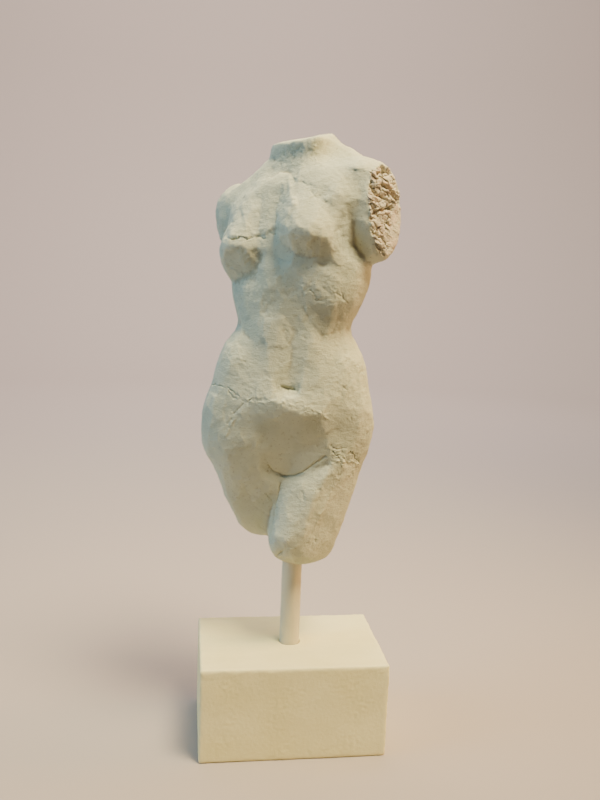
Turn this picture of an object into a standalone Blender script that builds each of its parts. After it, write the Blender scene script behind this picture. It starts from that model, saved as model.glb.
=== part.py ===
"""Female torso fragment on a rod and a block plinth, in metres, +Z up.

The origin is the middle of the plinth's underside. The plinth's front faces -Y, and the
figure's own left is on the +X side.
"""
import bmesh
import bpy
import numpy as np
import openvdb
from mathutils import Matrix

# Driving sizes
PLINTH_WIDTH = 0.110
PLINTH_DEPTH = 0.073
PLINTH_HEIGHT = 0.057
PLINTH_EDGE_RADIUS = 0.0008
ROD_DIAMETER = 0.012
ROD_SHOWN = 0.052
ROD_IN_PLINTH = 0.022
ROD_IN_TORSO = 0.030
SOCKET_CLEARANCE = 0.0003
TORSO_HEIGHT = 0.250

# How finely the torso is built
FIELD_STEP = 1.5
TORSO_TRIANGLES = 9000

# The figure is laid out in units of a 250th of its height, from the tip of its longer
# thigh, with the rod's axis at x = y = 0.
FIGURE_UNITS = 250
UNIT = TORSO_HEIGHT / FIGURE_UNITS
FIELD_LOW = (-66, -58, -6)
FIELD_HIGH = (70, 56, 262)
TORSO_BOTTOM = PLINTH_HEIGHT + ROD_SHOWN


class Frame:
    """A tilted set of axes: lateral runs to the figure's own left, then forward and up."""

    def __init__(self, origin, turn, lean=0):
        t, s = np.radians((turn, lean))
        left = np.array((np.cos(t), -np.sin(t), 0))
        ahead = np.array((-np.sin(t), -np.cos(t), 0))
        up = np.array((0, 0, 1.0))
        left, up = left * np.cos(s) + up * np.sin(s), up * np.cos(s) - left * np.sin(s)
        self.origin = np.array(origin, float)
        self.axes = np.array((left, ahead, up))

    def local(self, points):
        return [sum((points[i] - self.origin[i]) * axis[i] for i in range(3)) for axis in self.axes]


def smooth_min(a, b, blend):
    h = np.maximum(blend - np.abs(a - b), 0) / blend
    return np.minimum(a, b) - h * h * blend / 4


def smooth_max(a, b, blend):
    return -smooth_min(-a, -b, blend)


def ellipsoid(frame, points, centre, radii):
    u, v, w = [q - c for q, c in zip(frame.local(points), centre)]
    near = np.sqrt((u / radii[0]) ** 2 + (v / radii[1]) ** 2 + (w / radii[2]) ** 2)
    steep = np.sqrt((u / radii[0] ** 2) ** 2 + (v / radii[1] ** 2) ** 2 + (w / radii[2] ** 2) ** 2)
    return near * (near - 1) / np.maximum(steep, 1e-6)


def limb(frame, points, start, end, start_radius, end_radius):
    """A tapered limb with round ends."""
    q = frame.local(points)
    start = np.array(start, float)
    along = np.array(end, float) - start
    t = np.clip(sum((q[i] - start[i]) * along[i] for i in range(3)) / (along @ along), 0, 1)
    gap = np.sqrt(sum((q[i] - start[i] - t * along[i]) ** 2 for i in range(3)))
    return gap - start_radius - (end_radius - start_radius) * t


def spline(x, knots, values):
    """A smooth curve through the values at the knots."""
    knots, values = np.array(knots, float), np.array(values, float)
    slopes = np.gradient(values, knots)
    i = np.clip(np.searchsorted(knots, x) - 1, 0, len(knots) - 2)
    width = knots[i + 1] - knots[i]
    t = np.clip((x - knots[i]) / width, 0, 1)
    return (
        values[i] * (1 + 2 * t) * (1 - t) ** 2
        + slopes[i] * width * t * (1 - t) ** 2
        + values[i + 1] * t * t * (3 - 2 * t)
        + slopes[i + 1] * width * t * t * (t - 1)
    )


# Level, centre x, centre y, half width, depth ahead, depth behind, turn of the front in
# degrees towards the figure's own right, squareness of the section.
TRUNK = np.array((
    (48, -4, 2, 22, 12, 14, 8, 2.0),
    (64, -6, 0, 42, 15, 26, 8, 2.2),
    (84, -6, 0, 47, 20, 28, 9, 2.3),
    (102, -5, 0, 45, 25, 25, 11, 2.3),
    (120, -4.5, 1, 39, 25, 22, 15, 2.2),
    (138, -4, 2, 33, 25, 20, 22, 2.2),
    (158, -4, 3, 37, 25, 22, 29, 2.2),
    (175, -2, 4, 38, 25, 24, 34, 2.2),
    (195, -1, 5, 39, 23, 26, 38, 2.3),
    (212, -1, 6, 39, 19, 25, 38, 2.3),
    (226, -2, 7, 32, 14, 21, 38, 2.2),
    (238, -3, 7, 17, 10, 15, 38, 2.0),
))


def trunk(points):
    x, y, z = points
    cx, cy, wide, ahead, behind, turn, square = [
        spline(z, TRUNK[:, 0], column) for column in TRUNK[:, 1:].T
    ]
    t = np.radians(turn)
    u = (x - cx) * np.cos(t) - (y - cy) * np.sin(t)
    v = -(x - cx) * np.sin(t) - (y - cy) * np.cos(t)
    deep = np.where(v > 0, ahead, behind)
    size = (np.abs(u / wide) ** square + np.abs(v / deep) ** square) ** (1 / square)
    radius = np.sqrt(u * u + v * v)
    gap = radius * (size - 1) / np.maximum(size, 0.05)
    return np.maximum(gap, np.maximum(TRUNK[0, 0] - z, z - TRUNK[-1, 0]))


WORLD = Frame((0, 0, 0), turn=0)
CHEST = Frame((-1, 5, 192), turn=38, lean=7)
BELLY = Frame((-4, 2, 138), turn=22)
PELVIS = Frame((-6, 0, 82), turn=9)
BOTH = (-1, 1)


def groove(frame, points, path, width, depth, side=1):
    """Depth of a soft channel along a path of (lateral, up) points, on the front (side 1) or back."""
    u, v, w = frame.local(points)
    nearest = np.full(u.shape, 1e9, np.float32)
    for (u0, w0), (u1, w1) in zip(path[:-1], path[1:]):
        du, dw = u1 - u0, w1 - w0
        t = np.clip(((u - u0) * du + (w - w0) * dw) / (du * du + dw * dw), 0, 1)
        nearest = np.minimum(nearest, (u - u0 - t * du) ** 2 + (w - w0 - t * dw) ** 2)
    return depth * np.exp(-nearest / width**2) * (v * side > 0)


def broken(gap, frame, points, point, outward, blend):
    """The mass cut off at a plane through the point, facing outward, with softened edges."""
    q = frame.local(points)
    normal = np.array(outward, float) / np.linalg.norm(outward)
    return smooth_max(gap, sum((q[i] - point[i]) * normal[i] for i in range(3)), blend)


def figure(points):
    """Distance from the figure's skin, negative inside, for arrays of x, y and z in units."""
    d = trunk(points)

    def add(gap, blend):
        nonlocal d
        d = smooth_min(d, gap, blend)

    # Hips and buttocks
    for side in BOTH:
        hip = ellipsoid(PELVIS, points, (side * 32, -3, 2), (17, 22, 27))
        add(broken(hip, PELVIS, points, (side * 32, 17.5, 8), (0.2 * side, 0.92, -0.32), 9), 10)
        add(ellipsoid(PELVIS, points, (side * 29 + 1, 1, 35), (13, 16, 17)), 9)
        add(ellipsoid(PELVIS, points, (side * 19, -19, -6), (21, 19, 23)), 6)
    # Belly, fullest just under the navel and sloping back to the groin
    belly = ellipsoid(PELVIS, points, (-1, 4, 3), (31, 26, 30))
    belly = broken(belly, PELVIS, points, (-1, 27, 13), (-0.08, 0.88, -0.47), 5)
    add(belly, 5)
    add(limb(PELVIS, points, (-3, 19.5, 17), (17, 18.5, 14.5), 7.5, 7), 4)
    # Plates of the abdomen under the rib arch, the upper one overhanging the lower
    plate = limb(BELLY, points, (-8, 13.5, 34), (-5, 14.5, 18), 9.5, 12)
    add(broken(plate, BELLY, points, (-5, 24.5, 22), (0, 0.9, -0.44), 2), 4)
    add(limb(BELLY, points, (-9, 16, 5), (-5, 17, -18), 8.5, 8.5), 5)
    add(limb(BELLY, points, (7, 17, 38), (24, 12.5, 20), 9.5, 8.5), 6)
    # Ribs, back and shoulders
    for side in BOTH:
        add(ellipsoid(CHEST, points, (side * 20 - 2, 0, -21), (22, 20.5, 27)), 8)
        add(ellipsoid(CHEST, points, (side * 23, -18, 10), (19, 10, 24)), 10)
        add(limb(CHEST, points, (side * 30, -10, 22), (side * 38, -8, 6), 11, 9), 8)
        add(ellipsoid(CHEST, points, (side * 17, 5, 14), (20, 12, 24)), 8)
        add(ellipsoid(CHEST, points, (side * 30, 9, 10), (11, 12, 20)), 6)
    add(limb(CHEST, points, (3, 11, 30), (41, 3, 29), 4, 8), 4)
    add(limb(CHEST, points, (20, 6, 24), (36, 4, 12), 13, 10), 6)
    add(limb(CHEST, points, (-3, 11, 30), (-35, 6, 29), 3.5, 5), 3)
    add(limb(CHEST, points, (16, -8, 46), (45, -5, 26), 9, 8), 8)
    add(limb(CHEST, points, (-10, -8, 36), (-42, -6, 22), 8.5, 8), 8)
    add(limb(CHEST, points, (-8, -1, 33.5), (-42, 3, 22), 9, 8.5), 5)
    # Neck, hollowed in front, with the cord that runs up its left side
    neck = limb(CHEST, points, (2, -9, 26), (4, 3, 70), 17, 18)
    neck = broken(neck, CHEST, points, (0, 10, 47), (-0.32, 0.84, -0.45), 2)
    neck = smooth_min(neck, limb(CHEST, points, (13, 8, 40), (20, 7, 72), 5, 8), 2)
    add(broken(neck, WORLD, points, (-2, 0, 246), (-0.2, 0.1, 1), 2), 5)
    add(limb(CHEST, points, (-2, 4, 27), (-5, 14, -6), 14.5, 14), 6)
    # Breasts, each sloping out from the collar bone and cut back flat underneath
    breast = limb(CHEST, points, (11, 2.5, 29), (15.5, 17, -3), 15, 18)
    breast = broken(breast, CHEST, points, (12, 29, -10), (-0.45, 0.72, -0.53), 3)
    breast = broken(breast, CHEST, points, (18, 28, -10), (0.15, 0.75, -0.65), 3)
    add(breast, 2.5)
    breast = limb(CHEST, points, (-13, 2, 28), (-27, 17, -8), 15, 17)
    breast = broken(breast, CHEST, points, (-27, 30.5, -12), (-0.1, 0.82, -0.56), 3)
    breast = broken(breast, CHEST, points, (-40, 26, -4), (-0.8, 0.6, 0), 3)
    add(breast, 2.5)
    # Arms
    arm = ellipsoid(CHEST, points, (43, -4, 9), (20, 16, 28))
    add(broken(arm, CHEST, points, (53, -4, 9), (1, 0.25, -0.05), 1.5), 3)
    arm = ellipsoid(CHEST, points, (-44, -4, 14), (16, 15, 23))
    arm = broken(arm, CHEST, points, (-50, 7, 30), (-0.5, 0.5, 0.7), 2)
    add(broken(arm, CHEST, points, (-54, -4, 10), (-1, -0.15, -0.3), 3), 3)
    # Thighs, the left one drawn forward over the right
    add(ellipsoid(PELVIS, points, (-1, -8, -30), (14, 14, 18)), 6)
    thigh = limb(PELVIS, points, (-23.5, -5, -9), (-15, 0, -55), 25, 15)
    thigh = broken(thigh, PELVIS, points, (-20, 17, -20), (-0.1, 0.9, -0.35), 6)
    add(thigh, 7)
    thigh = limb(PELVIS, points, (23.5, -5, -8), (12.5, 5, -66), 24.5, 21)
    thigh = broken(thigh, PELVIS, points, (11, 5, -82), (0.08, 0, -1), 5)
    thigh = broken(thigh, PELVIS, points, (10, 19, -72), (-0.15, 0.8, -0.6), 6)
    thigh = broken(thigh, PELVIS, points, (17, 20.5, -40), (-0.2, 0.96, 0.12), 5)
    thigh = broken(thigh, PELVIS, points, (19.5, 19.5, -43), (0.6, 0.75, -0.22), 5)
    add(thigh, 3)

    # Furrows
    d = d + groove(CHEST, points, ((-1, 33.5), (2, 33.5)), 3.5, 3)
    d = d + groove(CHEST, points, ((-7, 37), (-20, 34), (-34, 25)), 4, 2)
    d = d + groove(CHEST, points, ((38, 10), (36, -10)), 4, 2.5)
    d = d + groove(CHEST, points, ((-1, 22), (-4, -14)), 3, 1.2)
    d = d + groove(BELLY, points, ((5, 2), (6, -28)), 5.5, 2.8)
    d = d + groove(BELLY, points, ((12, 14), (22, 4), (24, -8)), 6, 1.2)
    d = d + groove(PELVIS, points, ((-3, 24.5), (4, 23.5)), 2.2, 3)
    d = d + groove(CHEST, points, ((0, 30), (0, -40)), 6, 2.5, side=-1)
    d = d + groove(PELVIS, points, ((0, 0), (0, -30)), 6, 5, side=-1)
    d = d + groove(PELVIS, points, ((-10, -22.5), (-5, -26.5), (4, -27.5), (13, -24.5), (24, -17)), 2.4, 3)
    return d


def figure_mesh():
    """The figure's skin where its field is zero, as a mesh in metres."""
    sides = [np.arange(low, high, FIELD_STEP, dtype=np.float32) for low, high in zip(FIELD_LOW, FIELD_HIGH)]
    points = np.meshgrid(*sides, indexing="ij")
    grid = openvdb.FloatGrid(FIELD_STEP * 3)
    grid.copyFromArray(np.clip(figure(points), -3 * FIELD_STEP, 3 * FIELD_STEP).astype(np.float32))
    corners, quads = grid.convertToQuads(0)
    corners = corners * FIELD_STEP + np.array(FIELD_LOW)
    mesh = bpy.data.meshes.new("torso")
    mesh.from_pydata((corners * UNIT).tolist(), [], quads[:, ::-1].tolist())
    mesh.transform(Matrix.Translation((0, 0, TORSO_BOTTOM)))
    return mesh


def material(name, colour, roughness):
    made = bpy.data.materials.new(name)
    made.use_nodes = True
    shader = made.node_tree.nodes["Principled BSDF"]
    shader.inputs["Base Color"].default_value = (*colour, 1)
    shader.inputs["Roughness"].default_value = roughness
    return made


def add_object(name, mesh, collection, finish=None):
    made = bpy.data.objects.new(name, mesh)
    collection.objects.link(made)
    if finish:
        mesh.materials.append(finish)
    return made


def cylinder_mesh(name, radius, low, high, sides=32):
    mesh = bpy.data.meshes.new(name)
    shape = bmesh.new()
    bmesh.ops.create_cone(
        shape, cap_ends=True, segments=sides, radius1=radius, radius2=radius, depth=high - low,
        matrix=Matrix.Translation((0, 0, (low + high) / 2)),
    )
    shape.to_mesh(mesh)
    shape.free()
    return mesh


def cut(target, cutter):
    cutter.hide_render = True
    cutter.display_type = "WIRE"
    modifier = target.modifiers.new("socket", "BOOLEAN")
    modifier.operation = "DIFFERENCE"
    modifier.object = cutter


def build():
    for obj in list(bpy.data.objects):
        bpy.data.objects.remove(obj)
    parts = bpy.data.collections.new("female_bust")
    cutters = bpy.data.collections.new("cutters")
    for collection in (parts, cutters):
        bpy.context.scene.collection.children.link(collection)

    torso = add_object("torso", figure_mesh(), parts, material("torso_plaster", (0.59, 0.59, 0.43), 0.85))
    torso.data.shade_smooth()
    fewer = torso.modifiers.new("fewer_faces", "DECIMATE")
    fewer.ratio = TORSO_TRIANGLES / (2 * len(torso.data.polygons))
    socket_top = TORSO_BOTTOM + ROD_IN_TORSO + SOCKET_CLEARANCE
    cut(torso, add_object("torso_socket", cylinder_mesh(
        "torso_socket", ROD_DIAMETER / 2 + SOCKET_CLEARANCE, PLINTH_HEIGHT, socket_top), cutters))

    rod = add_object("rod", cylinder_mesh(
        "rod", ROD_DIAMETER / 2, PLINTH_HEIGHT - ROD_IN_PLINTH, TORSO_BOTTOM + ROD_IN_TORSO), parts,
        material("rod_paint", (0.61, 0.58, 0.44), 0.6))
    rod.data.shade_smooth()
    rod.data.set_sharp_from_angle(angle=0.7)

    block = bpy.data.meshes.new("plinth")
    shape = bmesh.new()
    bmesh.ops.create_cube(shape, matrix=Matrix.Translation((0, 0, PLINTH_HEIGHT / 2)) @ Matrix.Diagonal(
        (PLINTH_WIDTH, PLINTH_DEPTH, PLINTH_HEIGHT, 1)))
    shape.to_mesh(block)
    shape.free()
    plinth = add_object("plinth", block, parts, material("plinth_paint", (0.74, 0.70, 0.46), 0.7))
    edges = plinth.modifiers.new("edges", "BEVEL")
    edges.width = PLINTH_EDGE_RADIUS
    edges.segments = 2
    hole_bottom = PLINTH_HEIGHT - ROD_IN_PLINTH - SOCKET_CLEARANCE
    cut(plinth, add_object("plinth_socket", cylinder_mesh(
        "plinth_socket", ROD_DIAMETER / 2 + SOCKET_CLEARANCE, hole_bottom, PLINTH_HEIGHT + 0.01), cutters))


build()
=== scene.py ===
"""The looks of the female torso on its rod and block plinth, in metres, +Z up."""

import math

import bmesh
import bpy
import numpy as np
from mathutils import Matrix, Vector


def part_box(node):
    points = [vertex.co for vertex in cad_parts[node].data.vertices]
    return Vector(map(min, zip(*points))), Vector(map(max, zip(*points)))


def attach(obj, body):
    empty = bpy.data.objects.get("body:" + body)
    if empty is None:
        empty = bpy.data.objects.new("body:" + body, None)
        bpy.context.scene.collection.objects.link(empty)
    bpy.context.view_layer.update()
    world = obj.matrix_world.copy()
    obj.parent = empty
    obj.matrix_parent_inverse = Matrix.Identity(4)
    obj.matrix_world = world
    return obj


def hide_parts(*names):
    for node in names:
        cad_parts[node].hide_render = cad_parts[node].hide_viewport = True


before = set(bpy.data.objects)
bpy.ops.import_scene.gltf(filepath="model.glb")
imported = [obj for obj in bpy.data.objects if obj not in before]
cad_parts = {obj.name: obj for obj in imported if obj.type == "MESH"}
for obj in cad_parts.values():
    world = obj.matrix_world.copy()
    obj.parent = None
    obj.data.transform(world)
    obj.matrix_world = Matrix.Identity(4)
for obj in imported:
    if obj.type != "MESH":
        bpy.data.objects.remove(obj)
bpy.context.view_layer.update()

MM = 0.001

# Camera, from the plinth's corners in the photograph
FOCAL_PX = 813.0
IMAGE_WIDTH, IMAGE_HEIGHT = 600, 800
CAMERA_AT = (-0.0650, -0.4677, 0.2804)
LOOK_RIGHT, LOOK_DOWN, ROLL = math.radians(8.03), math.radians(8.85), math.radians(2.24)
SENSOR_MM = 36
NEAREST_SEEN = 10 * MM


def camera_axes():
    ahead = Vector((math.sin(LOOK_RIGHT), math.cos(LOOK_RIGHT), 0))
    right = Vector((math.cos(LOOK_RIGHT), -math.sin(LOOK_RIGHT), 0))
    up = Vector((0, 0, 1))
    ahead, up = (
        ahead * math.cos(LOOK_DOWN) - up * math.sin(LOOK_DOWN),
        up * math.cos(LOOK_DOWN) + ahead * math.sin(LOOK_DOWN),
    )
    right, up = (
        right * math.cos(ROLL) + up * math.sin(ROLL),
        up * math.cos(ROLL) - right * math.sin(ROLL),
    )
    return right, up, ahead


RIGHT, UP, AHEAD = camera_axes()


def make_camera():
    data = bpy.data.cameras.new("camera")
    data.sensor_fit = "VERTICAL"
    data.sensor_width = data.sensor_height = SENSOR_MM
    data.lens = FOCAL_PX / IMAGE_HEIGHT * SENSOR_MM
    data.clip_start = NEAREST_SEEN
    camera = bpy.data.objects.new("camera", data)
    camera.matrix_world = Matrix.Translation(CAMERA_AT) @ Matrix((RIGHT, UP, -AHEAD)).transposed().to_4x4()
    bpy.context.scene.collection.objects.link(camera)
    bpy.context.scene.camera = camera


def photo_pixels(co):
    """Where points land in the photograph."""
    away = co - np.array(CAMERA_AT)
    across, above, depth = away @ np.array(RIGHT), away @ np.array(UP), away @ np.array(AHEAD)
    x = IMAGE_WIDTH / 2 + FOCAL_PX * across / depth
    y = IMAGE_HEIGHT / 2 - FOCAL_PX * above / depth
    return np.stack((x, y), 1)


def pixels_per_mm(co):
    return FOCAL_PX / ((co - np.array(CAMERA_AT)) @ np.array(AHEAD)) * MM


# The cosines between which a surface that turns to the camera takes up the photograph's marks
FACING = (0.05, 0.3)


def facing_camera(co, no):
    """1 where the surface faces the photograph's camera, falling to 0 at the outline."""
    toward = np.array(CAMERA_AT) - co
    toward /= np.linalg.norm(toward, axis=1)[:, None]
    return ramp(np.einsum("ij,ij->i", toward, no), *FACING)


def ramp(x, low, high):
    t = np.clip((x - low) / (high - low), 0, 1)
    return t * t * (3 - 2 * t)


NOISE_SLOPES, NOISE_GAIN, OCTAVE_SHIFT = 256, 1.6, 17


class Noise:
    """Smooth gradient noise between about -1 and 1."""

    def __init__(self, seed):
        rng = np.random.default_rng(seed)
        self.order = rng.permutation(NOISE_SLOPES)
        slopes = rng.normal(size=(NOISE_SLOPES, 3))
        self.slopes = slopes / np.linalg.norm(slopes, axis=1)[:, None]

    def at(self, p):
        cell = np.floor(p).astype(int)
        f = p - cell
        ease = f * f * f * (f * (f * 6 - 15) + 10)
        total = 0
        for corner in np.ndindex(2, 2, 2):
            i, j, k = (cell + corner).T
            pick = 0
            for step in (i, j, k):
                pick = self.order[(pick + step) % NOISE_SLOPES]
            share = np.prod(np.where(np.array(corner) == 1, ease, 1 - ease), axis=1)
            total = total + share * np.einsum("ij,ij->i", self.slopes[pick], f - corner)
        return total * NOISE_GAIN

    def layered(self, p, octaves=3):
        return sum(self.at(p * 2**k + OCTAVE_SHIFT * k) / 2**k for k in range(octaves))


def coordinates(mesh):
    co = np.empty(len(mesh.vertices) * 3)
    mesh.vertices.foreach_get("co", co)
    return co.reshape(-1, 3)


def normals(mesh):
    no = np.empty(len(mesh.vertices) * 3)
    mesh.vertex_normals.foreach_get("vector", no)
    return no.reshape(-1, 3)


def set_coordinates(mesh, co):
    mesh.vertices.foreach_set("co", co.ravel())
    mesh.update()


def relaxed(mesh, co, rounds, strength=0.5):
    """Moves each point towards the middle of its neighbours, by one strength or a strength a point."""
    edges = np.empty(len(mesh.edges) * 2, dtype=np.int32)
    mesh.edges.foreach_get("vertices", edges)
    a, b = edges.reshape(-1, 2).T
    count = np.bincount(np.concatenate((a, b)), minlength=len(co))[:, None]
    strength = np.broadcast_to(np.asarray(strength, float).reshape(-1, 1), (len(co), 1))
    for _ in range(rounds):
        total = np.stack([
            np.bincount(a, co[b, i], minlength=len(co)) + np.bincount(b, co[a, i], minlength=len(co))
            for i in range(3)
        ], 1)
        co = co + strength * (total / count - co)
    return co


# Points closer than this are one point
SAME_POINT = 0.001 * MM


def fine_copy(node, name, voxel):
    """A copy of one of the part's solids with an even fine mesh, ready to be carved."""
    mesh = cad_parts[node].data.copy()
    work = bmesh.new()
    work.from_mesh(mesh)
    bmesh.ops.remove_doubles(work, verts=work.verts, dist=SAME_POINT)
    work.to_mesh(mesh)
    work.free()
    obj = bpy.data.objects.new(name, mesh)
    bpy.context.scene.collection.objects.link(obj)
    remesh = obj.modifiers.new("even", "REMESH")
    remesh.mode = "VOXEL"
    remesh.voxel_size = voxel
    apply_modifiers(obj)
    obj.data.name = name
    obj.data.materials.clear()
    return obj


def apply_modifiers(obj):
    evaluated = obj.evaluated_get(bpy.context.evaluated_depsgraph_get())
    obj.data = bpy.data.meshes.new_from_object(evaluated)
    obj.modifiers.clear()


def finer_where(mesh, wanted):
    """Splits the faces that touch a wanted point."""
    work = bmesh.new()
    work.from_mesh(mesh)
    edges = {e for f in work.faces if any(wanted[v.index] for v in f.verts) for e in f.edges}
    bmesh.ops.subdivide_edges(work, edges=list(edges), cuts=1, use_grid_fill=True)
    bmesh.ops.triangulate(work, faces=[f for f in work.faces if len(f.verts) > 4])
    work.to_mesh(mesh)
    work.free()


# The torso's carving. Lines and borders are in pixels of the photograph, and are laid on the
# surface from its camera. Heights, depths and half widths are in millimetres.
TORSO_VOXEL = 0.95 * MM
TORSO_TRIANGLES = 185000
# How much the skin is eased, all over and at the neck's top and the thighs' ends
EASE_ROUNDS, EASE_STRENGTH, EASE_STRENGTH_AT_ENDS = 6, 0.5, 0.15
NECK_END, THIGH_END = (12 * MM, 4 * MM), 9 * MM
# The plane of the left arm's break, how far it reaches, how thick it is and how its rim fades
CUT_POINT = np.array((42.05, -23.56, 316.39)) * MM
CUT_OUTWARD = np.array((0.6134, -0.7867, 0.0700))
CUT_REACH, CUT_THICKNESS, CUT_FADE = 33 * MM, 4 * MM, 2 * MM
CUT_FACING = (0.7, 0.9)

# Knife planes: their size, the share flattened, the most that it moves a point, and their seed
KNIFE_PLANES = ((13 * MM, 0.55, 0.6 * MM, 4), (6 * MM, 0.45, 0.3 * MM, 9))
# How much longer each plane may be one way, and how much a turn of the surface parts two planes
KNIFE_STRETCH, KNIFE_TURN = (0.35, 0.75), 1.6
KNIFE_SPREAD, KNIFE_TRIES, KNIFE_BATCH = (0.7, 1.3), 6000, 20000
# Where the mesh is made finer: within how many pixels of a crack, and deeper than what
FINER_BANDS = ((2.4, 0), (1.6, 0.6))

# How far marks stray from their lines, in pixels: slowly and then quickly
COAT_STRAY, CRACK_STRAY, CREASE_STRAY = (2.4, 0.8), (1.6, 0.9), (0.6, 0.2)
SLAB_STRAY, CLEFT_STRAY, RIM_STRAY = (1.6, 0.7), (1.0, 0.6), (1.5, 0.0)
SLOW_STRAY_SIZE, QUICK_STRAY_SIZE = 3.5, 1.3

# Each crack or raised edge: depth, below zero where it stands up, and half width, then its line.
# The ones wider than this are creases and run whole. The others come and go along their length.
CREASE_HALF_WIDTH = 0.5
CRACK_GAP_SIZE = 3.2
CRACKS = (
    # over the right breast, and an arc on the left of the chest
    (0.7, 0.35, ((226, 238), (233, 240), (242, 238), (251, 238.5))),
    (0.6, 0.35, ((255, 236), (262, 238), (270, 237), (276, 234))),
    (0.35, 0.3, ((290, 177.5), (299, 181), (305, 184), (311, 189), (316, 198), (326, 203))),
    # the right hip's crack and its branches
    (0.8, 0.4, ((211, 384), (220, 386.5), (226, 387), (234, 392), (241, 400), (248, 402), (252, 397))),
    (0.6, 0.35, ((228, 391), (233, 397), (239, 400))),
    (0.5, 0.35, ((247, 401), (240, 408), (233, 415), (227, 424))),
    # the crumbled crease at the left groin
    (0.8, 0.4, ((326, 449), (332, 451), (336, 455), (343, 458))),
    (0.8, 0.4, ((350, 452), (355, 456), (359, 463))),
    (0.5, 0.35, ((330, 446), (338, 449), (346, 448))),
    # the left hip
    (0.5, 0.35, ((339, 386), (343, 387), (347, 390))),
    (0.5, 0.3, ((358, 365), (362, 372))),
    (0.45, 0.35, ((349, 416), (353, 421), (357, 420))),
    # the end of the left thigh, the left shoulder and the left ribs
    (0.7, 0.4, ((288, 547), (281, 552), (276, 557))),
    (0.5, 0.3, ((283, 558), (275, 557))),
    (0.5, 0.35, ((354, 171), (360, 170))),
    (0.45, 0.35, ((305, 286), (312, 292), (318, 300), (327, 303))),
    (0.4, 0.3, ((333, 291), (339, 296))),
    (0.35, 0.3, ((341, 293), (347, 303))),
    # scratches on the belly and thighs, and one beside the neck
    (0.35, 0.3, ((303, 412), (309, 409), (316, 412), (321, 419))),
    (0.35, 0.3, ((307, 423), (313, 421), (319, 423))),
    (0.35, 0.3, ((302, 491), (304, 497), (302, 502))),
    (0.3, 0.3, ((313, 492), (320, 489))),
    (0.35, 0.3, ((306, 543), (320, 538), (318, 546))),
    (0.35, 0.3, ((256, 487), (266, 494), (272, 502))),
    (0.3, 0.3, ((266, 427), (272, 425), (276, 428))),
    (0.35, 0.3, ((336, 149), (330, 157), (325, 166))),
    # creases: the navel, under the belly, and between the thighs
    (0.9, 0.8, ((282, 387), (288, 389), (294, 389.5))),
    (0.8, 0.6, ((268, 466), (275, 472), (283, 475.5), (292, 476), (303, 472), (315, 463), (325, 457))),
    (0.8, 0.6, ((280, 484), (276, 503), (271.5, 529), (269, 540))),
    # edges that stand up: the belly's fold, the left thigh, the neck, the right breast and thigh
    (-0.3, 0.45, ((248, 401), (256, 402.5), (265, 402.5), (279, 400), (288, 405), (300, 405), (312, 409),
                  (330, 420))),
    (-0.3, 0.4, ((344, 462), (336, 481), (324, 508), (311, 536), (298, 563))),
    (-0.35, 0.4, ((333, 459), (342, 462), (352, 461), (360, 465))),
    (-0.3, 0.4, ((318, 134), (313, 148), (317, 163))),
    (-0.25, 0.4, ((226, 266), (240, 264), (258, 252))),
    (-0.3, 0.5, ((225, 437), (231, 423), (240, 413))),
)

# Each coat of plaster: height, how softly it ends in pixels, then its border
COATS = (
    # the chest, the left breast's top, the abdomen and the ribs
    (0.9, 5.0, ((229, 237), (246, 238), (262, 234), (283, 226), (296, 205), (292, 176), (284, 173),
                (266, 181), (247, 195), (236, 212))),
    (0.3, 1.6, ((291, 179), (313, 186), (328, 203), (346, 214), (349, 190), (338, 168), (313, 166))),
    (0.5, 2.0, ((264, 318), (285, 318), (291, 330), (288, 347), (268, 348), (261, 332))),
    (0.3, 1.6, ((301, 277), (322, 288), (336, 304), (339, 330), (323, 336), (306, 312))),
    (-0.3, 3.0, ((264, 292), (296, 290), (306, 314), (290, 318), (262, 312))),
    # softer ones: the furrow of the chest, and the right breast's plane, tipped downwards
    (0.5, 16.0, ((258, 184), (284, 176), (294, 182), (297, 206), (290, 232), (268, 232))),
    (-0.9, 12.0, ((214, 254), (236, 250), (262, 254), (258, 284), (236, 286), (214, 272))),
    (0.7, 9.0, ((216, 238), (236, 236), (262, 240), (262, 250), (236, 248), (216, 250))),
    # the hips, the belly's top, the thighs and the left of the chest
    (0.4, 1.6, ((228, 345), (239, 343), (241, 358), (230, 361))),
    (0.35, 1.6, ((257, 379), (271, 378), (276, 389), (269, 400), (257, 396))),
    (0.3, 3.0, ((279, 391), (300, 391), (327, 397), (329, 403), (312, 404), (288, 401))),
    (0.3, 1.6, ((283, 500), (303, 482), (320, 492), (306, 530), (284, 545), (272, 535))),
    (0.3, 1.6, ((241, 478), (256, 480), (271, 503), (268, 515), (256, 505))),
    (0.3, 1.6, ((330, 235), (345, 228), (349, 250), (340, 266), (330, 262))),
    (0.3, 1.6, ((212, 395), (226, 398), (222, 420), (209, 426))),
    (0.3, 1.2, ((330, 463), (345, 464), (354, 470), (345, 482), (333, 478))),
    (0.3, 1.2, ((296, 232), (308, 229), (316, 236), (306, 246), (296, 242))),
    (0.3, 1.2, ((240, 205), (256, 200), (262, 222), (247, 230))),
)

# Where the plaster is left rough: how much, then its border, which fades over the ease in pixels
ROUGH_EASE = 8
ROUGH = (
    # the neck, the crumbled crease, the ribs, under the breasts and the left hip
    (0.7, ((273, 147), (298, 138), (317, 134), (312, 148), (317, 162), (300, 169), (280, 165))),
    (0.8, ((325, 446), (340, 448), (352, 449), (361, 460), (352, 466), (334, 460))),
    (0.35, ((298, 272), (330, 262), (345, 285), (330, 308), (306, 300))),
    (0.4, ((236, 262), (285, 262), (300, 300), (262, 312), (236, 300))),
    (0.4, ((286, 225), (322, 222), (334, 245), (318, 264), (292, 255))),
    (0.5, ((332, 355), (362, 362), (368, 400), (345, 410), (330, 385))),
)

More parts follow.
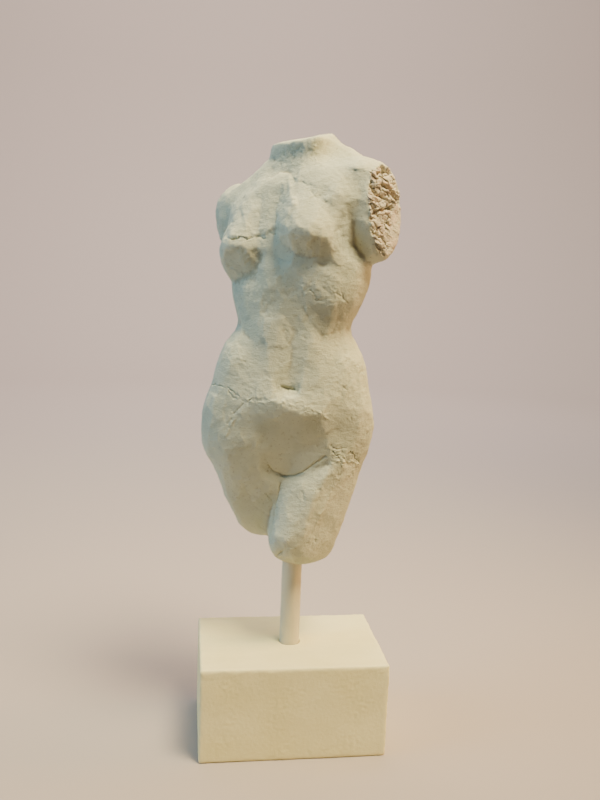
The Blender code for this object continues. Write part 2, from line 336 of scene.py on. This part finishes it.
# Layers all over that end in low steps: size, how many, how ragged, their step and its slope
LAYER_SIZE, LAYER_COUNT, LAYER_RAG, LAYER_STEP, LAYER_SLOPE = 13, 2.0, 0.2, 0.15, 0.12
LAYER_RAG_SIZE = 2.5
# The skin's grain, and what is added to it and scored into it where the plaster is rough
GRAIN_SIZE, GRAIN_HEIGHT, ROUGH_GRAIN, SCORE_SIZE, SCORE_DEPTH = 2.6, 0.07, 0.12, 3.0, 0.45
# The raised lips that the knife leaves: size, height, how far apart their patches are, and the
# lean that turns and squeezes them
LIP_SIZE, LIP_HEIGHT, LIP_PATCH_SIZE = 5.5, 0.25, 16
LIP_LEAN = np.array(((1, 0, 0.8), (0, 1, 0), (-1.8, 0, 2.2)))
PIT_SIZE, PIT_DEPTH = 1.7, 0.5

# The left arm's break: depth and half width of each cleft, then its line
CLEFTS = (
    (2.7, 0.8, ((377, 164), (382, 167), (385, 170), (390, 173))),
    (1.95, 0.7, ((377, 174), (382, 172.5), (388, 172))),
    (2.7, 0.8, ((382, 185), (388, 189), (393, 195), (399, 204))),
    (2.1, 0.7, ((371, 182), (366, 190), (360, 198))),
    (1.95, 0.7, ((371, 187), (376, 194), (382, 198))),
    (3.0, 0.9, ((375, 213), (381, 210), (390, 208.5))),
    (1.8, 0.6, ((366, 218), (373, 219))),
    (1.8, 0.6, ((368, 230), (374, 232), (379, 237))),
    (1.95, 0.7, ((377, 247), (380, 250), (383, 255))),
    (1.8, 0.7, ((367, 254), (372, 260))),
)
# The slabs of the break: their lean, length and width in the photograph, and their step
SLAB_LEAN, SLAB_LENGTH, SLAB_WIDTH, SLAB_STEP = math.radians(48), 9.0, 3.2, 1.3
# How many slabs there are before they repeat, how they tilt and shift, and the joints between them
SLAB_GRID, SLAB_TILT, SLAB_SHIFT, SLAB_RISE = 64, 0.55, (0.1, 0.9), (-0.5, 0.5)
JOINT_DEPTH, JOINT_WIDTH = 0.7, 0.16
# The whole break stands out a little, swells broadly and is crumbly
BREAK_STANDS_OUT, SWELL, SWELL_SQUEEZE, SWELL_SIZE = 0.3, 0.5, (0.5, 0.4), 60
CRUMB_SIZE, CRUMB_HEIGHT = 1.5, 0.16
# The break's smooth right edge, how softly it ends in pixels, and the share that is smoothed away
SMOOTH_RIM = ((391, 205), (402, 200), (403, 250), (384, 268), (377, 262), (388, 248))
RIM_EASE, RIM_SMOOTHED = 4, 0.85


def distance_to_line(px, line):
    nearest = np.full(len(px), np.inf)
    for start, end in zip(line[:-1], line[1:]):
        a, along = np.array(start, float), np.subtract(end, start).astype(float)
        t = np.clip((px - a) @ along / (along @ along), 0, 1)
        nearest = np.minimum(nearest, np.linalg.norm(px - a - t[:, None] * along, axis=1))
    return nearest


def inside(px, border, ease):
    """1 within a closed border and 0 outside it, changing over the ease in pixels."""
    border = border + border[:1]
    within = np.zeros(len(px), bool)
    for (x0, y0), (x1, y1) in zip(border[:-1], border[1:]):
        spans = (px[:, 1] > y0) != (px[:, 1] > y1)
        if y0 != y1:
            within ^= spans & (px[:, 0] < x0 + (x1 - x0) * (px[:, 1] - y0) / (y1 - y0))
    return ramp(np.where(within, 1, -1) * distance_to_line(px, border), -ease / 2, ease / 2)


def on_arm_cut(co, no):
    """1 on the left arm's break and 0 off it."""
    near = np.abs((co - CUT_POINT) @ CUT_OUTWARD) < CUT_THICKNESS
    reach = np.linalg.norm(co - CUT_POINT, axis=1)
    return near * ramp(no @ CUT_OUTWARD, *CUT_FACING) * ramp(-reach, -CUT_REACH, -CUT_REACH + CUT_FADE)


def spread(co, spacing, rng):
    """Picks points about the spacing apart."""
    found = np.empty((0, 3))
    chosen = []
    for i in rng.permutation(len(co))[:KNIFE_TRIES]:
        apart = np.linalg.norm(found - co[i], axis=1)
        if not len(found) or apart.min() > spacing * rng.uniform(*KNIFE_SPREAD):
            found = np.vstack((found, co[i]))
            chosen.append(i)
    return chosen


def slab_heights(at, chosen, seed):
    """Heights between about -1 and 1 of tilted slabs, one to each unit square, with joints between."""
    rng = np.random.default_rng(seed)
    grid = (SLAB_GRID, SLAB_GRID)
    shift, tilt = rng.uniform(*SLAB_SHIFT, (*grid, 2)), rng.normal(0, SLAB_TILT, (*grid, 2))
    rise = rng.uniform(*SLAB_RISE, grid)
    height = np.zeros(len(at))
    points = at[chosen]
    cell = np.floor(points).astype(int)
    best = np.full(len(points), np.inf)
    second = best.copy()
    top = np.zeros(len(points))
    for step in np.ndindex(3, 3):
        near = cell + step - 1
        i, j = (near % SLAB_GRID).T
        apart = points - near - shift[i, j]
        gap = np.linalg.norm(apart, axis=1)
        closer = gap < best
        second = np.where(closer, best, np.minimum(second, gap))
        top = np.where(closer, rise[i, j] + np.einsum("ij,ij->i", apart, tilt[i, j]), top)
        best = np.where(closer, gap, best)
    height[chosen] = top - JOINT_DEPTH * (1 - ramp(second - best, 0, JOINT_WIDTH))
    return height


def knife_planes(co, no, spacing, strength, limit, seed):
    """Flattens the surface into planes about the spacing across, as a palette knife leaves it."""
    rng = np.random.default_rng(seed)
    seeds = spread(co, spacing, rng)
    centres, outward = co[seeds], no[seeds]
    # each plane is longer one way than the other
    grain = np.cross(outward, rng.normal(size=outward.shape))
    grain /= np.linalg.norm(grain, axis=1)[:, None]
    stretch = rng.uniform(*KNIFE_STRETCH, len(seeds))
    owner = np.empty(len(co), int)
    for start in range(0, len(co), KNIFE_BATCH):
        part = slice(start, start + KNIFE_BATCH)
        apart = co[part, None] - centres[None]
        far = np.einsum("ijk,ijk->ij", apart, apart)
        far -= stretch * np.einsum("ijk,jk->ij", apart, grain) ** 2
        turned = 1 - no[part] @ outward.T
        owner[part] = np.argmin(far + turned * (KNIFE_TURN * spacing) ** 2, axis=1)
    size = np.maximum(np.bincount(owner, minlength=len(seeds)), 1)
    middle = np.stack([np.bincount(owner, co[:, i], minlength=len(seeds)) / size for i in range(3)], 1)
    plane = np.stack([np.bincount(owner, no[:, i], minlength=len(seeds)) for i in range(3)], 1)
    plane /= np.maximum(np.linalg.norm(plane, axis=1)[:, None], np.finfo(float).eps)
    off = np.einsum("ij,ij->i", co - middle[owner], plane[owner])
    move = np.clip(off, -limit, limit) * strength
    return co - move[:, None] * plane[owner]


class Skin:
    """The torso's points before its relief: where they are and how the photograph's camera sees them."""

    def __init__(self, mesh):
        self.co, self.no = coordinates(mesh), normals(mesh)
        self.mm = self.co / MM
        self.px = photo_pixels(self.co)
        self.scale = pixels_per_mm(self.co)
        self.seen = facing_camera(self.co, self.no)
        self.cut = on_arm_cut(self.co, self.no)
        wander = Noise(21)
        slow, quick = self.mm / SLOW_STRAY_SIZE, self.mm / QUICK_STRAY_SIZE
        self.ragged = np.stack((wander.layered(slow, 2), wander.layered(slow + 50, 2)), 1)
        self.jagged = np.stack((wander.layered(quick + 90, 2), wander.layered(quick + 130, 2)), 1)

    def strayed(self, slow, quick):
        return self.px + slow * self.ragged + quick * self.jagged

    def groove(self, px, line, half):
        """1 along a line and fading to 0 past the half width in millimetres."""
        return np.exp(-((distance_to_line(px, line) / self.scale / half) ** 2))


def coats_and_cracks(skin):
    """How deep the coats of plaster and the cracks go. The cracks are jagged, and come and go."""
    depth = np.zeros(len(skin.co))
    strayed = skin.strayed(*COAT_STRAY)
    comes_and_goes = 0.15 + 0.95 * ramp(Noise(22).at(skin.mm / CRACK_GAP_SIZE), -0.3, 0.2)
    for height, ease, border in COATS:
        depth -= height * inside(strayed, border, ease) * skin.seen
    for deep, half, line in CRACKS:
        if half > CREASE_HALF_WIDTH:
            depth += deep * skin.groove(skin.strayed(*CREASE_STRAY), line, half) * skin.seen
        else:
            depth += deep * comes_and_goes * skin.groove(skin.strayed(*CRACK_STRAY), line, half) * skin.seen
    return depth


def layers_and_lips(skin):
    """How deep the thin layers, the grain, the scored patches and the knife's raised lips go."""
    layers = Noise(31).layered(skin.mm / LAYER_SIZE, 3) + LAYER_RAG * Noise(32).at(skin.mm / LAYER_RAG_SIZE)
    layers *= LAYER_COUNT
    steps = np.floor(layers) + ramp(layers - np.floor(layers), 0, LAYER_SLOPE)
    grain = Noise(33).layered(skin.mm / GRAIN_SIZE, 2)
    rough = np.zeros(len(skin.co))
    for amount, border in ROUGH:
        rough = np.maximum(rough, amount * inside(skin.px, border, ROUGH_EASE) * skin.seen)
    scores = ramp(1 - np.abs(Noise(34).layered(skin.mm / SCORE_SIZE, 2)), 0.8, 1.0)
    depth = -LAYER_STEP * steps + (GRAIN_HEIGHT + ROUGH_GRAIN * rough) * grain + SCORE_DEPTH * rough * scores
    lips = ramp(1 - np.abs(Noise(35).layered(skin.mm @ LIP_LEAN.T / LIP_SIZE, 2)), 0.88, 1.0)
    depth -= LIP_HEIGHT * lips * ramp(Noise(36).at(skin.mm / LIP_PATCH_SIZE), -0.2, 0.5)
    return (1 - skin.cut) * depth


def arm_break(skin):
    """How deep the left arm's break goes: leaning slabs parted by clefts, smooth at the outer rim."""
    at = skin.strayed(*SLAB_STRAY)
    lean = np.array((math.cos(SLAB_LEAN), math.sin(SLAB_LEAN)))
    slabs = np.stack((at @ lean / SLAB_LENGTH, at @ (-lean[1], lean[0]) / SLAB_WIDTH), 1)
    broken = skin.cut * (1 - RIM_SMOOTHED * inside(skin.strayed(*RIM_STRAY), SMOOTH_RIM, RIM_EASE))
    swell = Noise(42).layered(np.column_stack((slabs * SWELL_SQUEEZE, skin.mm[:, 1] / SWELL_SIZE)), 2)
    depth = skin.cut * (-BREAK_STANDS_OUT - SWELL * swell)
    depth -= broken * slab_heights(slabs, skin.cut > 0, 41) * SLAB_STEP
    depth += broken * CRUMB_HEIGHT * Noise(43).layered(skin.mm / CRUMB_SIZE, 2)
    for deep, half, line in CLEFTS:
        depth += skin.cut * deep * skin.groove(skin.strayed(*CLEFT_STRAY), line, half)
    return depth


def pits(skin):
    return PIT_DEPTH * ramp(Noise(51).at(skin.mm / PIT_SIZE), 0.74, 0.9)


def keep_value(mesh, name, values):
    """Keeps a value for each point, for the material to read."""
    mesh.attributes.new(name, "FLOAT", "POINT").data.foreach_set("value", values.astype(np.float32))


def make_torso():
    torso = fine_copy("torso", "torso_plaster", TORSO_VOXEL)
    mesh = torso.data
    co = coordinates(mesh)
    # the neck's top and the thighs' ends keep crisper edges
    heights = co[:, 2] - co[:, 2].min()
    at_neck = ramp(heights, *(heights.max() - np.array(NECK_END)))
    ends = np.maximum(at_neck, ramp(-heights, -THIGH_END, 0))
    co = relaxed(mesh, co, EASE_ROUNDS, EASE_STRENGTH - (EASE_STRENGTH - EASE_STRENGTH_AT_ENDS) * ends)
    set_coordinates(mesh, co)

    # broad knife planes, then smaller ones, with their edges eased
    for spacing, strength, limit, seed in KNIFE_PLANES:
        no = normals(mesh)
        keep = (1 - on_arm_cut(co, no))[:, None]
        co = co + keep * (knife_planes(co, no, spacing, strength, limit, seed) - co)
        co = relaxed(mesh, co, 1)
        set_coordinates(mesh, co)

    # finer mesh where there are cracks and on the broken arm
    for band, deep in FINER_BANDS:
        co, no = coordinates(mesh), normals(mesh)
        px = photo_pixels(co)
        near = np.min([distance_to_line(px, line) for depth, _, line in CRACKS if abs(depth) > deep], axis=0)
        finer_where(mesh, (facing_camera(co, no) > 0) & (near < band) | (on_arm_cut(co, no) > 0.1))

    skin = Skin(mesh)
    depth = coats_and_cracks(skin) + layers_and_lips(skin) + arm_break(skin) + pits(skin)
    co = skin.co - (depth * MM)[:, None] * skin.no
    set_coordinates(mesh, co)
    keep_value(mesh, "broken", skin.cut)
    keep_value(mesh, "hollow", hollowness(mesh, co))
    fewer = torso.modifiers.new("fewer_faces", "DECIMATE")
    fewer.ratio = TORSO_TRIANGLES / sum(len(face.vertices) - 2 for face in mesh.polygons)
    apply_modifiers(torso)
    torso.data.shade_smooth()
    return torso


# Hollows are told from the rounds of easing before and after, the share of fine ones, and the
# depth that counts as full
SOFT_ROUNDS, SOFTER_ROUNDS, FINE_HOLLOWS, FULL_HOLLOW = 3, 12, 0.6, 0.5 * MM


def hollowness(mesh, co):
    """0 on ridges, a half on flats and 1 in hollows."""
    soft = relaxed(mesh, co, SOFT_ROUNDS)
    softer = relaxed(mesh, soft, SOFTER_ROUNDS)
    sunk = softer - soft + FINE_HOLLOWS * (soft - co)
    return np.clip(0.5 + np.einsum("ij,ij->i", sunk, normals(mesh)) / FULL_HOLLOW, 0, 1)


# The plinth: its mesh, then the paint's waves, its stipple everywhere and in patches, and its
# wandering edges, by height in millimetres
PLINTH_VOXEL = 0.8 * MM
WAVE_HEIGHT, STIPPLE_HEIGHT, PATCH_HEIGHT, EDGE_HEIGHT = 0.10, 0.05, 0.14, 0.35
WAVE_SIZE, STIPPLE_SIZE, PATCH_SIZE, WANDER_SIZE = 19 * MM, 1.5 * MM, 16 * MM, 5 * MM
EDGE_WIDTH, FOOT_HEIGHT = 1.6 * MM, 1.5 * MM


def make_plinth():
    plinth = fine_copy("plinth", "plinth_block", PLINTH_VOXEL)
    mesh = plinth.data
    co = relaxed(mesh, coordinates(mesh), 3)
    set_coordinates(mesh, co)
    no = normals(mesh)
    low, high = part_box("plinth")
    # stipple on the upright faces, and edges that wander; the foot stays flat
    upright = 1 - np.abs(no[:, 2])
    patches = ramp(Noise(61).layered(co / PATCH_SIZE, 2), -0.35, 0.5)
    stipple = Noise(62).layered(co / STIPPLE_SIZE, 2)
    lift = WAVE_HEIGHT * Noise(63).at(co / WAVE_SIZE)
    lift += upright * (STIPPLE_HEIGHT + PATCH_HEIGHT * patches) * stipple
    from_faces = np.minimum(co - np.array(low), np.array(high) - co)
    from_edge = np.sort(from_faces, axis=1)[:, 1]
    edge = np.exp(-((from_edge / EDGE_WIDTH) ** 2))
    lift += edge * EDGE_HEIGHT * Noise(64).layered(co / WANDER_SIZE, 2)
    co = co + (lift * ramp(co[:, 2], 0, FOOT_HEIGHT) * MM)[:, None] * no
    set_coordinates(mesh, co)
    keep_value(mesh, "hollow", hollowness(mesh, co))
    mesh.shade_smooth()
    return plinth


# The rod, with its paint brushed along it
ROD_SIDES, ROD_RINGS, ROD_SHARP_ANGLE = 72, 90, 0.8
ROD_STREAK, ROD_STREAK_HEIGHT = (2.5 * MM, 2.5 * MM, 14 * MM), 0.07 * MM


def make_rod():
    low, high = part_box("rod")
    radius = (high.x - low.x) / 2
    work = bmesh.new()
    bmesh.ops.create_cone(
        work, cap_ends=True, segments=ROD_SIDES, radius1=radius, radius2=radius, depth=high.z - low.z,
        matrix=Matrix.Translation((0, 0, (low.z + high.z) / 2)),
    )
    uprights = [e for e in work.edges if abs(e.verts[0].co.z - e.verts[1].co.z) > MM]
    bmesh.ops.subdivide_edges(work, edges=uprights, cuts=ROD_RINGS)
    mesh = bpy.data.meshes.new("rod_painted")
    work.to_mesh(mesh)
    work.free()
    rod = bpy.data.objects.new("rod_painted", mesh)
    bpy.context.scene.collection.objects.link(rod)
    co = coordinates(mesh)
    outward = co * (1, 1, 0) / radius
    set_coordinates(mesh, co + outward * ROD_STREAK_HEIGHT * Noise(71).layered(co / ROD_STREAK, 2)[:, None])
    mesh.shade_smooth()
    mesh.set_sharp_from_angle(angle=ROD_SHARP_ANGLE)
    return rod


class Shader:
    """Builds a node material one node at a time."""

    def __init__(self, name, roughness, specular=0.3):
        self.material = bpy.data.materials.new(name)
        self.material.use_nodes = True
        self.tree = self.material.node_tree
        self.surface = self.tree.nodes["Principled BSDF"]
        self.surface.inputs["Roughness"].default_value = roughness
        self.surface.inputs["Specular IOR Level"].default_value = specular
        self.place = self.add("ShaderNodeTexCoord").outputs["Object"]

    def put(self, value, socket):
        """Links a node's output to a socket, or sets the socket to a number or colour."""
        if isinstance(value, bpy.types.NodeSocket):
            self.tree.links.new(value, socket)
        else:
            socket.default_value = value

    def add(self, kind, **inputs):
        node = self.tree.nodes.new(kind)
        for key, value in inputs.items():
            self.put(value, node.inputs[key])
        return node

    def noise(self, scale, detail=3.0, roughness=0.55, stretch=None):
        place = self.place
        if stretch:
            place = self.add("ShaderNodeMapping", Vector=place, Scale=stretch).outputs[0]
        node = self.add("ShaderNodeTexNoise", Vector=place, Scale=scale, Detail=detail, Roughness=roughness)
        return node.outputs["Fac"]

    def attribute(self, name):
        node = self.add("ShaderNodeAttribute")
        node.attribute_name = name
        return node.outputs["Fac"]

    def band(self, value, low, high):
        """0 below low and 1 above high, or the other way round where low is the larger."""
        ends = {"From Min": low, "From Max": high}
        return self.add("ShaderNodeMapRange", Value=value, **ends).outputs[0]

    def between(self, value, low, high):
        """Low where the value is 0 and high where it is 1."""
        ends = {"To Min": low, "To Max": high}
        return self.add("ShaderNodeMapRange", Value=value, **ends).outputs[0]

    def mix(self, share, a, b):
        node = self.add("ShaderNodeMix")
        node.data_type = "RGBA"
        sockets = {socket.name: socket for socket in node.inputs if socket.enabled}
        for name, value in (("Factor", share), ("A", a), ("B", b)):
            self.put(value, sockets[name])
        return next(socket for socket in node.outputs if socket.enabled)

    def lay(self, colour, over, mask, share):
        """Lays one colour over another by a mask, at most by the share."""
        node = self.add("ShaderNodeMath")
        node.operation = "MULTIPLY"
        self.put(mask, node.inputs[0])
        self.put(share, node.inputs[1])
        return self.mix(node.outputs[0], colour, over)

    def bump(self, height, distance, strength, normal=None):
        node = self.add("ShaderNodeBump", Height=height, Distance=distance, Strength=strength)
        if normal:
            self.put(normal, node.inputs["Normal"])
        return node.outputs[0]

    def finish(self, colour, roughness, normal):
        for name, value in (("Base Color", colour), ("Roughness", roughness), ("Normal", normal)):
            self.put(value, self.surface.inputs[name])
        return self.material


# Plaster
CREAM = (0.58, 0.60, 0.44, 1)
PALE = (0.66, 0.67, 0.49, 1)
GREY = (0.49, 0.51, 0.37, 1)
# dark dust for specks, and the painted shade laid in the hollows
DUST_AND_SHADE = (0.30, 0.27, 0.18, 1)
BROKEN_CLAY = (0.57, 0.53, 0.42, 1)
PINK_CLAY = (0.58, 0.46, 0.36, 1)
# Paint, each with a lighter and a darker shade
BLOCK_PAINT = ((0.80, 0.74, 0.38, 1), (0.86, 0.80, 0.45, 1), (0.70, 0.65, 0.34, 1))
ROD_PAINT = ((0.61, 0.565, 0.41, 1), (0.67, 0.62, 0.46, 1), (0.52, 0.49, 0.36, 1))


# What counts as a hollow and as a ridge: hollows take dust and painted shade, the break's deep clefts
# painted shade, ridges worn paint; nothing between them is changed
HOLLOWS, RIDGES, DEEP_BREAK = (0.62, 1.0), (0.4, 0.1), (0.52, 0.8)
FINE_BUMP, GRAIN_BUMP, PAINT_BUMP, BRUSH_BUMP = 0.0002, 0.0006, 0.0004, 0.0008


def torso_material():
    s = Shader("chalky_plaster", 0.85)
    colour = s.mix(s.band(s.noise(38), 0.38, 0.62), GREY, CREAM)
    colour = s.lay(colour, PALE, s.band(s.noise(110, 4, stretch=(1, 1, 0.5)), 0.35, 0.65), 0.35)
    hollow = s.attribute("hollow")
    # the hollows are darkened with dust and painted shade
    colour = s.lay(colour, DUST_AND_SHADE, s.band(hollow, *HOLLOWS), 0.55)
    colour = s.lay(colour, PALE, s.band(hollow, *RIDGES), 0.6)
    colour = s.lay(colour, DUST_AND_SHADE, s.band(s.noise(900, 2), 0.64, 0.70), 0.5)
    clay = s.mix(s.band(s.noise(160, 4), 0.48, 0.62), BROKEN_CLAY, PINK_CLAY)
    # the deep clefts of the break are darkened: painted shade
    clay = s.lay(clay, DUST_AND_SHADE, s.band(hollow, *DEEP_BREAK), 0.85)
    colour = s.lay(colour, clay, s.attribute("broken"), 0.85)
    normal = s.bump(s.noise(330, 5, 0.65, (1, 1, 1.8)), GRAIN_BUMP, 0.85)
    normal = s.bump(s.noise(1500, 3, 0.6), FINE_BUMP, 0.6, normal)
    return s.finish(colour, s.between(s.noise(150), 0.72, 0.95), normal)


def painted_material(name, paint, grain, streaks, worn):
    paint, pale, deep = paint
    s = Shader(name, 0.75)
    colour = s.mix(s.band(s.noise(30), 0.36, 0.64), paint, pale)
    colour = s.lay(colour, deep, s.band(s.noise(90, 4, stretch=streaks), 0.4, 0.6), 0.25)
    hollow = s.attribute("hollow")
    # the hollows are darkened with dust and painted shade
    colour = s.lay(colour, DUST_AND_SHADE, s.band(hollow, *HOLLOWS), 0.4)
    colour = s.lay(colour, pale, s.band(hollow, *RIDGES), worn)
    normal = s.bump(s.noise(grain, 4, 0.6), PAINT_BUMP, 0.5)
    normal = s.bump(s.noise(60, stretch=streaks), BRUSH_BUMP, 0.25, normal)
    return s.finish(colour, s.between(s.noise(120), 0.62, 0.88), normal)


def dress(piece, node, material):
    piece.data.materials.append(material)
    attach(piece, "root")
    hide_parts(node)


# The studio
FLOOR_RADIUS, WALL_RADIUS, WALL_HEIGHT, SWEEP_STEPS, SPIN_STEPS = 1.6, 2.6, 2.2, 24, 96
PAPER, PAPER_ROUGHNESS = (0.42, 0.37, 0.33, 1), 0.95


def make_backdrop():
    """A round floor that sweeps up into a wall all the way round."""
    bend = WALL_RADIUS - FLOOR_RADIUS
    profile = [(0.0, 0.0), (FLOOR_RADIUS, 0.0)]
    for i in range(1, SWEEP_STEPS + 1):
        a = i / SWEEP_STEPS * math.pi / 2
        profile.append((FLOOR_RADIUS + bend * math.sin(a), bend * (1 - math.cos(a))))
    profile.append((WALL_RADIUS, WALL_HEIGHT))
    work = bmesh.new()
    points = [work.verts.new((r, 0, z)) for r, z in profile]
    edges = [work.edges.new(pair) for pair in zip(points[:-1], points[1:])]
    bmesh.ops.spin(
        work, geom=points + edges, cent=(0, 0, 0), axis=(0, 0, 1), angle=2 * math.pi, steps=SPIN_STEPS,
        use_merge=True,
    )
    bmesh.ops.remove_doubles(work, verts=work.verts, dist=0.01 * MM)
    bmesh.ops.recalc_face_normals(work, faces=work.faces)
    mesh = bpy.data.meshes.new("backdrop")
    work.to_mesh(mesh)
    work.free()
    mesh.shade_smooth()
    backdrop = bpy.data.objects.new("backdrop", mesh)
    bpy.context.scene.collection.objects.link(backdrop)
    paper = bpy.data.materials.new("pale_paper")
    paper.use_nodes = True
    shader = paper.node_tree.nodes["Principled BSDF"]
    shader.inputs["Base Color"].default_value = PAPER
    shader.inputs["Roughness"].default_value = PAPER_ROUGHNESS
    mesh.materials.append(paper)


FIGURE_MIDDLE = (0.0, 0.0, 0.2)
WALL_BEHIND = (0.1, 2.2, 0.3)
# Each light: where it stands, what it points at, its size, its spread in degrees, power and colour
LIGHTS = {
    "key": ((0.30, -0.35, 1.3), FIGURE_MIDDLE, 0.45, 60, 5.1, (1.0, 0.80, 0.46)),
    "front_right": ((0.85, -0.7, 0.6), FIGURE_MIDDLE, 0.8, 90, 0.35, (0.80, 0.88, 1.0)),
    "right": ((1.1, 0.0, 0.6), FIGURE_MIDDLE, 0.5, 60, 1.5, (1.0, 0.50, 0.12)),
    "left": ((-1.1, -0.1, 0.7), FIGURE_MIDDLE, 0.8, 90, 3.1, (0.36, 0.70, 1.0)),
    "wall": ((0.0, 0.6, 1.9), WALL_BEHIND, 0.9, 140, 68, (1.0, 0.86, 0.80)),
}


def make_lights():
    world = bpy.data.worlds.new("studio")
    world.use_nodes = True
    world.node_tree.nodes["Background"].inputs["Strength"].default_value = 0
    bpy.context.scene.world = world
    for name, (place, aim, size, spread, power, colour) in LIGHTS.items():
        data = bpy.data.lights.new(name, "AREA")
        data.size, data.energy, data.color, data.spread = size, power, colour, math.radians(spread)
        light = bpy.data.objects.new(name, data)
        light.location = place
        light.rotation_mode = "QUATERNION"
        light.rotation_quaternion = (Vector(aim) - Vector(place)).to_track_quat("-Z", "Y")
        bpy.context.scene.collection.objects.link(light)


make_camera()
rod_material = painted_material("painted_rod", ROD_PAINT, 700, (1, 1, 0.15), 0.1)
block_material = painted_material("painted_block", BLOCK_PAINT, 520, (0.3, 1, 1), 0.6)
dress(make_torso(), "torso", torso_material())
dress(make_rod(), "rod", rod_material)
dress(make_plinth(), "plinth", block_material)
make_backdrop()
make_lights()
